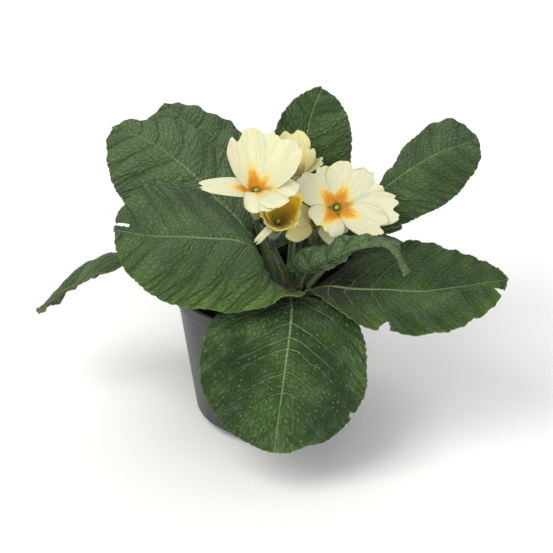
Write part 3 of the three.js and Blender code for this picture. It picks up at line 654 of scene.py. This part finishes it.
def makeLeaf(name, leaf, seed):
    form, spine = leafForm, spineOf(leaf["midrib"])
    length, coarse = spine["length"], leaf["coarse"]
    bm = bmesh.new()
    bmesh.ops.create_grid(bm, x_segments=int(length / form["step"] / coarse),
                          y_segments=2 * int(sum(leaf["half"]) / form["across"] / coarse / 2), size=1)
    mesh = toMesh(bm, name.replace("leaf_", "blade_"))
    flat = getSpots(mesh)
    s, across = 1 - (1 - (flat[:, 0] + 1) / 2) ** form["tipCrowding"], flat[:, 1]
    rimward = np.abs(across)
    side, handed = np.where(across > 0, 0, 1), np.where(across > 0, 1.0, -1.0)
    half, share = halfWidth(leaf, s, side), bladeShare(leaf, s, side)
    u, w = s * length, half * rimward
    open_ = np.clip(share * 8, 0, 1)  # how far the blade has opened out from the stalk
    stalkShare = np.clip(1 - s / (1.25 * leaf["stalk"]), 0, 1)
    # painted shade: the leaf darkens towards its stalk, where the centre of the plant lies in shade
    shade = np.clip(leaf["shade"] * (1 - s / leaf["shadeReach"]), 0, 1)

    # the margin: small rounded teeth and slow waves
    edges = [outlineOf(leaf, length, k) for k in (0, 1)]
    run, outU, outW = (np.where(side == 0, *(np.interp(s, edge["s"], edge[key]) for edge in edges))
                       for key in ("run", "outU", "outW"))
    wander = run + 3.0 * softNoise(run / 5, side * 7.0, seed)
    teeth = np.abs(np.sin(pi * wander / form["toothStep"])) ** 0.8 - 0.6
    push = form["tooth"] * teeth * (0.35 + 1.1 * softNoise(run / 5, side * 3.0, seed + 2))
    push = (push + form["marginWave"] * (softNoise(run / 12, side * 5.0, seed + 3) - 0.5)) * open_
    fade = rimward ** 4
    u, w = u + outU * push * fade, np.clip(w + outW * push * fade, 0, None)
    v = w * handed  # across the flat leaf, its left half above 0

    # the relief: a sunken midrib and side veins, and the blade puckered up between them
    count, spacing = veinsOf(leaf, u, w, side, length, seed)
    sideVein = np.abs(count - np.round(count)) * spacing
    pucker = (1 - bell(np.minimum(sideVein, w * 0.9), form["puckerReach"])) * open_
    lumps = softNoise(u / 4, v / 4 + 30, seed + 8) + 0.5 * softNoise(u / 2, v / 2 + 60, seed + 5)
    height = form["pucker"] * (pucker - 0.5) + form["lump"] * (lumps - 0.75) * pucker
    height = height - form["groove"] * bell(w, 1.0) * (1 - s)
    height = height + form["wave"] * (softNoise(u / 16, v / 16 + 9, seed + 6) - 0.5) * open_
    height = height + form["ruffle"] * 2 * (softNoise(run / 9, side * 11.0, seed + 7) - 0.5) * fade * open_
    height = height * leaf["relief"] + 0.2 + 0.5 * stalkShare

    # the flat leaf is laid along its bent midrib
    inside = np.clip(u / length, 0, 1)
    forward = onSpine(spine, inside, "headings")
    centre = onSpine(spine, inside, "spots") + forward * np.clip(u - length, 0, None)[:, None]
    drawn = half / bySide(leaf["half"], side) * across ** 2 * (1 - share) ** 4
    centre = centre + bySide(leaf["ear"], side) * drawn[:, None]
    face, faceTip = (np.array(leaf[key], float) / np.linalg.norm(leaf[key]) for key in ("face", "faceTip"))
    up = face + (faceTip - face) * inside[:, None]
    up = unit(up - forward * (up * forward).sum(1)[:, None])
    left = np.cross(up, forward)
    rise, riseTip = bySide(leaf["rise"], side), bySide(leaf["riseTip"], side)
    rise = np.radians(rise + (riseTip - rise) * inside)
    curl = np.radians(bySide(leaf["curl"], side)) * rimward
    outward, upward = arc(w, rise, curl)
    lean = np.where(rimward < 1e-6, 0, rise + curl)
    setSpots(mesh, centre + left * (handed * (outward - height * np.sin(lean)))[:, None]
             + up * (upward + height * np.cos(lean))[:, None])

    forked = np.clip(w / half.max() - 0.38, 0, 1) * (0.75 + 0.4 * softNoise(count, side * 5.0, seed + 9))
    setUv(mesh, "flatLeaf", np.stack([u, v], 1) / 100)
    setUv(mesh, "veinGrid", np.stack([count, v / 2.4 + 30 + seed], 1))
    setTint(mesh, "veins", spacing, forked, (1 - rimward) * half,
            leaf["lines"] * np.clip(1.7 - 1.5 * s, 0, 1))
    # the tone's third channel is the painted shade towards the stalk and crown
    setTint(mesh, "tone", leaf["paintedSheen"] * (0.6 + 0.4 * softNoise(u / 20, w / 20, seed)),
            bySide(leaf["yellow"], side) * rimward ** 2, np.maximum(stalkShare ** 0.5, shade), leaf["specks"])

    # nicks are torn out of the margin as narrow wedges
    torn = np.zeros(len(flat), bool)
    for which, where, depth, width in leaf["nicks"]:
        rim = edges[which]
        outU, outW, startW = (np.interp(where, rim["s"], rim[key]) for key in ("outU", "outW", "w"))
        du, dw = u - where * length, v * (1 if which == 0 else -1) - startW
        deep, aside = -du * outU - dw * outW, np.abs(du * outW - dw * outU)
        torn |= aside < width * (1 - deep / depth) + 0.25 * softNoise(deep * 2, aside * 0, seed)
    bm = reopen(mesh)
    bm.verts.ensure_lookup_table()
    bmesh.ops.delete(bm, geom=[bm.verts[int(k)] for k in np.flatnonzero(torn)], context="VERTS")
    toMesh(bm, mesh)
    s, w, sideVein, open_ = (values[~torn] for values in (s, w, sideVein, open_))

    piece = addPiece(mesh, [bladeTop, bladeUnder], name)
    ribs = leaf["rib"] * (0.22 + 0.78 * np.clip(1.15 - s, 0, 1) ** 1.5) * bell(w, form["ribWidth"])
    thick = form["blade"] + ribs + form["sideRidge"] * bell(sideVein, form["sideRidgeWidth"]) * open_
    group = piece.vertex_groups.new(name="thickness")
    most = float(thick.max())
    for index, weight in enumerate(thick / most):
        group.add((index,), float(weight), "REPLACE")
    thicken(piece, most).vertex_group = "thickness"


for number, (name, own) in enumerate(leaves.items()):
    makeLeaf(name, {**plainLeaf, **own}, number + 1)
print("leaves ready")


# Flowers: thin soft petals on a narrow tube, with an orange mark at the foot of each petal

petalForm = {"thickness": 0.28, "foot": 2.2, "spread": 0.62, "notch": 0.13, "notchWidth": 0.2,
             "shoulder": 0.3, "scallop": 0.06, "scallopWidth": 0.09, "uneven": 0.07, "step": 0.5,
             "overlap": 4, "ruffle": 0.5, "fold": 0.3, "foldWidth": 0.16}
tube = {"length": 14, "radius": 1.5, "mouthRadius": 2.35, "flare": 4, "steps": 28}

# What a flower and a petal have where they say nothing else. A petal's row holds its turn anticlockwise from
# the flower's right, its length, half width and rise towards the flower's face, and what else it has. Wrap
# bends the petals round into a cup; mark and wide are the orange mark's length and width, deep the throat's.
plainFlower = {"lean": (0, 0, 12), "tone": 0, "deep": 1.8}
plainPetal = {"curl": 0, "skew": 0, "notchAt": 0, "taper": 0}
flowers = {
    "right": {
        "throat": (29.8, -1.5, 106.6), "axis": (0.05, -0.85, 0.52), "root": (11.5, -1.5), "lean": (6, -2, 12),
        "wrap": 0, "mark": 8.8, "wide": 4.2, "petals": [
            (128, 18.8, 10.5, 12, {"skew": 0.08, "notchAt": -0.2}),
            (63, 19.3, 11, 15, {"skew": -0.03}),
            (32, 20.5, 10, 10),
            (-4, 26.5, 7.8, 10),
            (334, 22, 7.5, 12),
            (230, 11.2, 9.5, 48, {"curl": -60})]},
    "left": {
        "throat": (-6, -6, 117.2), "axis": (0, -0.25, 0.97), "root": (4.5, -1.5),
        "wrap": 0.5, "mark": 10, "wide": 4.0, "tone": 0.05, "petals": [
            (105, 26, 11, 55, {"curl": -5, "skew": 0.04, "notchAt": 0.35}),
            (36, 27.5, 14, 50, {"notchAt": 0.3, "mark": 7}),
            (-36, 20.5, 11, 55, {"curl": -72}),
            (-80, 19, 7.5, 66, {"curl": -115}),
            (188, 25, 9, 30, {"curl": -30, "taper": 0.45})]},
    "rear": {
        "throat": (12, 17, 115.3), "axis": (0.02, -0.2, 1), "root": (8.5, 3.3),
        "wrap": 0.5, "mark": 4, "wide": 2.6, "tone": 0.35, "petals": [
            (98, 18, 8.5, 60),
            (35, 12, 7, 60),
            (-12, 12.5, 4.5, 36),
            (-134, 14, 8, 65),
            (150, 15, 8, 60)]},
    "middle": {
        "throat": (3.6, -8, 103), "axis": (0.15, -0.6, 0.8), "root": (8, -3),
        "wrap": 1, "mark": 30, "wide": 30, "rim": 2.2, "deep": 9, "tone": 0.85, "petals": [
            (40, 17, 7, 58, {"taper": 0.3}),
            (120, 9.5, 7, 55),
            (192, 11.5, 7, 52),
            (264, 11, 7, 55),
            (336, 11.5, 7, 55),
            (215, 13.5, 1.8, 20, {"curl": -70, "mark": 0, "tone": 0.1})]},
    "lower": {
        "throat": (20.8, 4, 96.6), "axis": (0.15, -0.8, 0.5), "root": (11, 1.8),
        "wrap": 0, "mark": 0, "wide": 2.6, "tone": 0.5, "petals": [
            (112, 7, 4, 70),
            (55, 5, 2.8, 70),
            (-31, 13, 6.8, 0, {"tone": 0.2}),
            (191, 13.8, 6.6, 10),
            (156, 10.5, 5.5, 24)]},
}


# UV petal holds the millimetres / 10 along and across a petal. The petalTint attribute holds the mark's
# reach, the throat's share, the distance to the rim and the yellowness.
def petalParts(add):
    uv = add("UVMap", uv_map="petal")
    tint = add("Attribute", attribute_name="petalTint")
    reach, throat, rim = add("SeparateColor", Color=tint).outputs
    streaks, frays = (add("TexNoise", Scale=1.0, Detail=detail, Roughness=rough,
                          Vector=add("Mapping", Scale=stretch, Vector=uv))
                      for stretch, detail, rough in (((0.9, 13, 1), 4.0, 0.6), ((2.2, 22, 1), 3.0, 0.5)))
    return {"along": add("SeparateXYZ", Vector=uv), "reach": reach, "throat": throat, "rim": rim,
            "tone": tint.outputs["Alpha"], "streaks": streaks, "frays": frays}


# Petal tissue is thin and full of air, so light soaks into it and its colour is soft.
petalFinish = {"Roughness": 0.55, "IOR": 1.38, "Subsurface Weight": 0.25,
               "Subsurface Radius": (1.0, 0.85, 0.45), "Subsurface Scale": 0.0012, "Sheen Weight": 0.08,
               "Sheen Roughness": 0.5}
petalTop, add, shader = newMaterial("petal, upper side", petalFinish)
parts = petalParts(add)
cream = add("ValToRGB", Fac=parts["streaks"], stops=[(0.3, "#c5c195"), (0.45, "#cac8a6"), (0.65, "#d0ceb3")])
amber = add("ValToRGB", Fac=parts["frays"], stops=[(0.32, "#b65a00"), (0.5, "#c97600"), (0.68, "#d69c00")])
depth = add("Math", parts["frays"], 1.5, -0.75, operation="MULTIPLY_ADD")
depth = add("Math", parts["reach"], depth, operation="ADD")  # streaks fray the mark's end
depth = add("Math", depth, parts["along"], operation="SUBTRACT")
colour = paint(add, cream, [
    (parts["tone"], None, "#e8d858"),
    (add("Math", depth, 0.4, operation="ADD"), [(0.0, 0), (0.4, 0.6), (0.7, 0.9)], "#e3c72c"),
    (depth, [(0.0, 0), (0.15, 0.6), (0.4, 1)], paint(add, amber, [(parts["tone"], None, "#c4a810")])),
    (add("Math", depth, 1.0, operation="SUBTRACT"), [(0.1, 0), (0.9, 0.4)], "#835a08"),
    (parts["rim"], [(0.01, 0.4), (0.04, 0)], "#c4ab7c"),
    (parts["throat"], [(0.3, 0), (0.6, 1)], "#8b7a10")])
bump = add("Bump", Strength=0.4, Distance=0.0004, Height=parts["streaks"])
setNode(shader, {"Base Color": colour, "Normal": bump})

petalUnder, add, shader = newMaterial("petal, under side", petalFinish)
parts = petalParts(add)
cream = add("ValToRGB", Fac=parts["streaks"], stops=[(0.3, "#d6d2a6"), (0.7, "#dedab9")])
bump = add("Bump", Strength=0.3, Distance=0.0004, Height=parts["streaks"])
setNode(shader, {"Normal": bump, "Base Color": paint(add, cream, [
    (parts["tone"], None, "#e2d670"), (parts["rim"], [(0.02, 0.7), (0.12, 0)], "#b08f5a")])})

# Soft green tissue lets a little light in, and its fine down catches the light at the edges.
downy = {"Roughness": 0.6, "IOR": 1.4, "Sheen Weight": 0.5, "Sheen Roughness": 0.4, "Subsurface Weight": 0.15,
         "Subsurface Scale": 0.0008}
# The flower stalks' dark greens are partly painted shade: darker than the stalks' own green, for the shaded
# centre of the plant.
calyxGreen, stalkGreen, pistilGreen = (
    grained(name, downy, {"scale": scale, "detail": 4.0, "stretch": (1.0, 1.0, 0.3), "bump": (0.4, 0.0003),
                          "stops": [(0.3, low), (0.7, high)]})
    for name, low, high, scale in (("ribbed calyx", "#7f8d4c", "#9dab69", 900.0),
                                   ("downy flower stalk", "#2c3719", "#45522c", 900.0),
                                   ("waxy stigma", "#8f9a33", "#a6b04c", 1500.0)))


def flowerFrame(plan):
    axis = Vector(plan["axis"]).normalized()
    right = Vector((0, 0, 1)).cross(axis).normalized()
    turned = Matrix((right, axis.cross(right), axis)).transposed().to_4x4()
    return Matrix.Translation(Vector(plan["throat"])) @ turned


def placed(spots, plan):  # spots of a flower that faces +Z, moved to where the flower is
    m = np.array(flowerFrame(plan))
    return spots @ m[:3, :3].T + m[:3, 3]


def makeCorolla(name, plan, seed):
    form, petals, lip = petalForm, plan["petals"], tube["mouthRadius"]
    rows, columns = (int(1.1 * max(petal[k] for petal in petals) / form["step"]) for k in (1, 2))
    bm = bmesh.new()
    for _ in petals:
        bmesh.ops.create_grid(bm, x_segments=rows, y_segments=2 * columns, size=1)
    each = len(bm.verts) // len(petals)
    narrow = tube["radius"]
    spinProfile(bm, [(narrow, -tube["length"]), (narrow, -8), (narrow, -tube["flare"]), (1.4, -2.4),
                     (1.3, -1.1), (lip - 0.6, -0.45), (lip - 0.1, 0.05), (lip + 0.25, 0.4)], tube["steps"])
    mesh = toMesh(bm, "corolla." + name)
    grid = getSpots(mesh)
    spots = grid / mm
    uv = np.zeros((len(grid), 2))
    uv[:, 0] = -0.3
    mark, throatShare = np.zeros(len(grid)), np.ones(len(grid))
    rim, tone = np.ones(len(grid)), np.full(len(grid), float(plan["tone"]))
    for k, (turn, length, halfMost, rise, *own) in enumerate(petals):
        petal = {**plainPetal, "mark": plan["mark"], "tone": plan["tone"], **(own[0] if own else {})}
        pick, marks = slice(k * each, (k + 1) * each), seed * 10 + k
        along, across = (grid[pick, 0] + 1) / 2, grid[pick, 1]

        # the outline: a heart-shaped notch, and a small scallop in each lobe
        edge = 1 + petal["skew"] * across - form["shoulder"] * np.abs(across) ** 3.5
        edge = edge - form["notch"] * bell(across - petal["notchAt"], form["notchWidth"])
        for lobe in (-1, 1):
            spot = lobe * (0.42 + 0.2 * float(scatter(lobe + 2.0, 1.0, marks)))
            deep = form["scallop"] * float(scatter(lobe + 2.0, 3.0, marks))
            edge = edge - deep * bell(across - spot, form["scallopWidth"])
        edge = edge + form["uneven"] * (softNoise(across * 5 + 9, across * 0, marks) - 0.5)
        full = form["foot"] + (halfMost - form["foot"]) * np.sin(pi / 2 * along ** form["spread"])
        half = full * (1 - petal["taper"] * along ** 2)
        out, wide = length * along * edge, half * across

        # the lie: risen, curled, tilted over its neighbour, ruffled, and folded along the middle
        turn, rise, curl = radians(turn), radians(rise), radians(petal["curl"]) * along
        outward, upward = arc(out, rise, curl)
        lean = rise + curl
        ruffle = softNoise(across * 3.2 + 5, along * 2.2, marks) - 0.5
        lift = np.tan(radians(form["overlap"])) * half * across * along
        lift = lift + form["ruffle"] * 2 * ruffle * along ** 2
        lift = lift - form["fold"] * bell(across, form["foldWidth"]) * along * (1 - 0.5 * along)
        lift = lift + 0.05 * np.sin(across * 26 + 4 * ruffle) * along
        reach = lip - 0.25 + outward - lift * np.sin(lean)
        bend = np.maximum(reach, 2)
        x = reach + plan["wrap"] * bend * (np.cos(wide / bend) - 1)
        y = wide + plan["wrap"] * (bend * np.sin(wide / bend) - wide)
        spots[pick] = np.stack([x * cos(turn) - y * sin(turn), x * sin(turn) + y * cos(turn),
                                upward + 0.1 + lift * np.cos(lean)], 1)

        # what the petals' materials read
        uv[pick] = np.stack([out, wide], 1) / 10
        toTip = length * (1 - along)
        rim[pick] = np.minimum(toTip, half * (1 - np.abs(across)) * 0.8) / 10
        mark[pick] = petal["mark"] / 10 * (1.25 * np.exp(-np.abs(wide / plan["wide"]) ** 2.5) - 0.25) - 0.1
        if "rim" in plan:  # a mark that fills the petal stops short of its rim
            mark[pick] = np.minimum(mark[pick], uv[pick, 0] + 0.35 * (toTip - plan["rim"]))
        throatShare[pick] = np.clip(1 - out / plan["deep"], 0, 1) * 0.75
        tone[pick] = petal["tone"] * (0.6 + 0.5 * softNoise(across * 2, along * 3, marks))
    inTube = slice(each * len(petals), None)
    throatShare[inTube] = 1 - 0.3 * np.clip(-spots[inTube, 2] / 3, 0, 1)
    setSpots(mesh, placed(spots, plan))
    setUv(mesh, "petal", uv)
    setTint(mesh, "petalTint", mark, throatShare, rim, tone)
    thicken(addPiece(mesh, [petalTop, petalUnder], "corolla_" + name), form["thickness"])


calyx = {"length": 9, "radius": 3.4, "waist": 0.85, "wall": 0.35, "tooth": 2.0, "foot": 2.4, "rib": 0.28,
         "steps": 60}


def makeCalyx(name, plan):
    base, radius, wall, inside = -tube["length"] - 0.3, calyx["radius"], calyx["wall"], tube["radius"] + 0.4
    rim, waist, waistHeight = base + calyx["length"], calyx["waist"] * radius, base + 0.4 * calyx["length"]
    profile = [(0, base - calyx["foot"]), (1.3, base - calyx["foot"] + 0.4), (inside + wall, base),
               (waist, waistHeight), (waist + 0.2, waistHeight + 2), (radius - 0.1, rim - 1.5), (radius, rim),
               (radius - wall, rim), (radius - wall - 0.1, rim - 1.5), (waist - wall, waistHeight),
               (inside, base + 0.3), (0, base + 0.3)]
    mesh = toMesh(lathe(rounded(profile, 0.3, 2), calyx["steps"]), "calyx." + name)
    spots = getSpots(mesh) / mm
    turn, reach = np.arctan2(spots[:, 1], spots[:, 0]), np.hypot(spots[:, 0], spots[:, 1])
    wave = np.cos(5 * turn)  # five ribs that end in five teeth
    height = np.clip((spots[:, 2] - base) / calyx["length"], 0, 1)
    rib = np.clip(wave, 0, 1) ** 3 * calyx["rib"] * np.sin(pi * np.clip(height * 0.9 + 0.08, 0, 1))
    swell = 1 + (rib * (reach > inside + 0.2) - 0.05) / np.clip(reach, 1, None)
    spots[:, :2] *= swell[:, None]
    point = (1 - (np.arccos(np.clip(wave, -1, 1)) / pi)) ** 1.2 * 2 - 1
    spots[:, 2] += calyx["tooth"] * point * np.clip((height - 0.8) * 5, 0, 1)
    setSpots(mesh, placed(spots, plan))
    addPiece(mesh, [calyxGreen], "calyx_" + name)


stalk = {"radius": 1.0, "bend": 14, "rings": 60, "sides": 16}


def makeStalk(name, plan):
    matrix = flowerFrame(plan)
    foot = Vector(plan["root"]).to_3d() + Vector((0, 0, rootstock["top"] + 0.5))
    reach = [foot, foot + Vector(plan["lean"]), matrix @ Vector((0, 0, -tube["length"] - stalk["bend"])),
             matrix @ Vector((0, 0, -tube["length"] - calyx["foot"] - 0.5))]
    bm = bmesh.new()
    bmesh.ops.create_grid(bm, x_segments=stalk["rings"], y_segments=stalk["sides"], size=1)
    mesh = toMesh(bm, "stalk." + name)
    grid = getSpots(mesh)
    t, turn = ((grid[:, 0] + 1) / 2)[:, None], pi * grid[:, 1]
    a, b, c, d = (np.array(p) for p in reach)
    centre = a * (1 - t) ** 3 + 3 * b * t * (1 - t) ** 2 + 3 * c * t ** 2 * (1 - t) + d * t ** 3
    forward = unit(3 * (b - a) * (1 - t) ** 2 + 6 * (c - b) * t * (1 - t) + 3 * (d - c) * t ** 2)
    sideways = unit(np.array([1.0, 0, 0]) - forward * forward[:, :1])
    other = np.cross(forward, sideways)
    thick = stalk["radius"] * (0.92 + 0.16 * np.abs(t[:, 0] - 0.5)) + 0.04 * np.sin(4 * turn + t[:, 0] * 9)
    setSpots(mesh, centre + sideways * (thick * np.cos(turn))[:, None]
             + other * (thick * np.sin(turn))[:, None])
    bm = reopen(mesh)
    bmesh.ops.remove_doubles(bm, verts=bm.verts, dist=0.01 * mm)
    bmesh.ops.holes_fill(bm, edges=bm.edges, sides=0)
    bmesh.ops.recalc_face_normals(bm, faces=bm.faces)
    addPiece(toMesh(bm, mesh), [stalkGreen], "stalk_" + name)


pistil = {"style": 0.35, "ovary": 0.7, "stigma": 1.0, "top": 1.1, "steps": 24}


def makePistil(name, plan):
    foot, top, ovary = -tube["length"] + 0.5, pistil["top"], pistil["ovary"]
    style, stigma = pistil["style"], pistil["stigma"]
    profile = [(0, foot), (ovary, foot + 0.4), (ovary, foot + 1.4), (style, foot + 2), (style, top - 1.7),
               (stigma, top - 1.1), (stigma, top - 0.5), (0.35, top - 0.05), (0, top - 0.15)]
    mesh = toMesh(lathe(rounded(profile, 0.4), pistil["steps"]), "pistil." + name)
    setSpots(mesh, placed(getSpots(mesh) / mm, plan))
    addPiece(mesh, [pistilGreen], "pistil_" + name)


for number, (name, own) in enumerate(flowers.items()):
    plan = {**plainFlower, **own}
    makeCorolla(name, plan, number + 1)
    makeCalyx(name, plan)
    makeStalk(name, plan)
    makePistil(name, plan)
print("flowers ready")

bpy.context.view_layer.update()
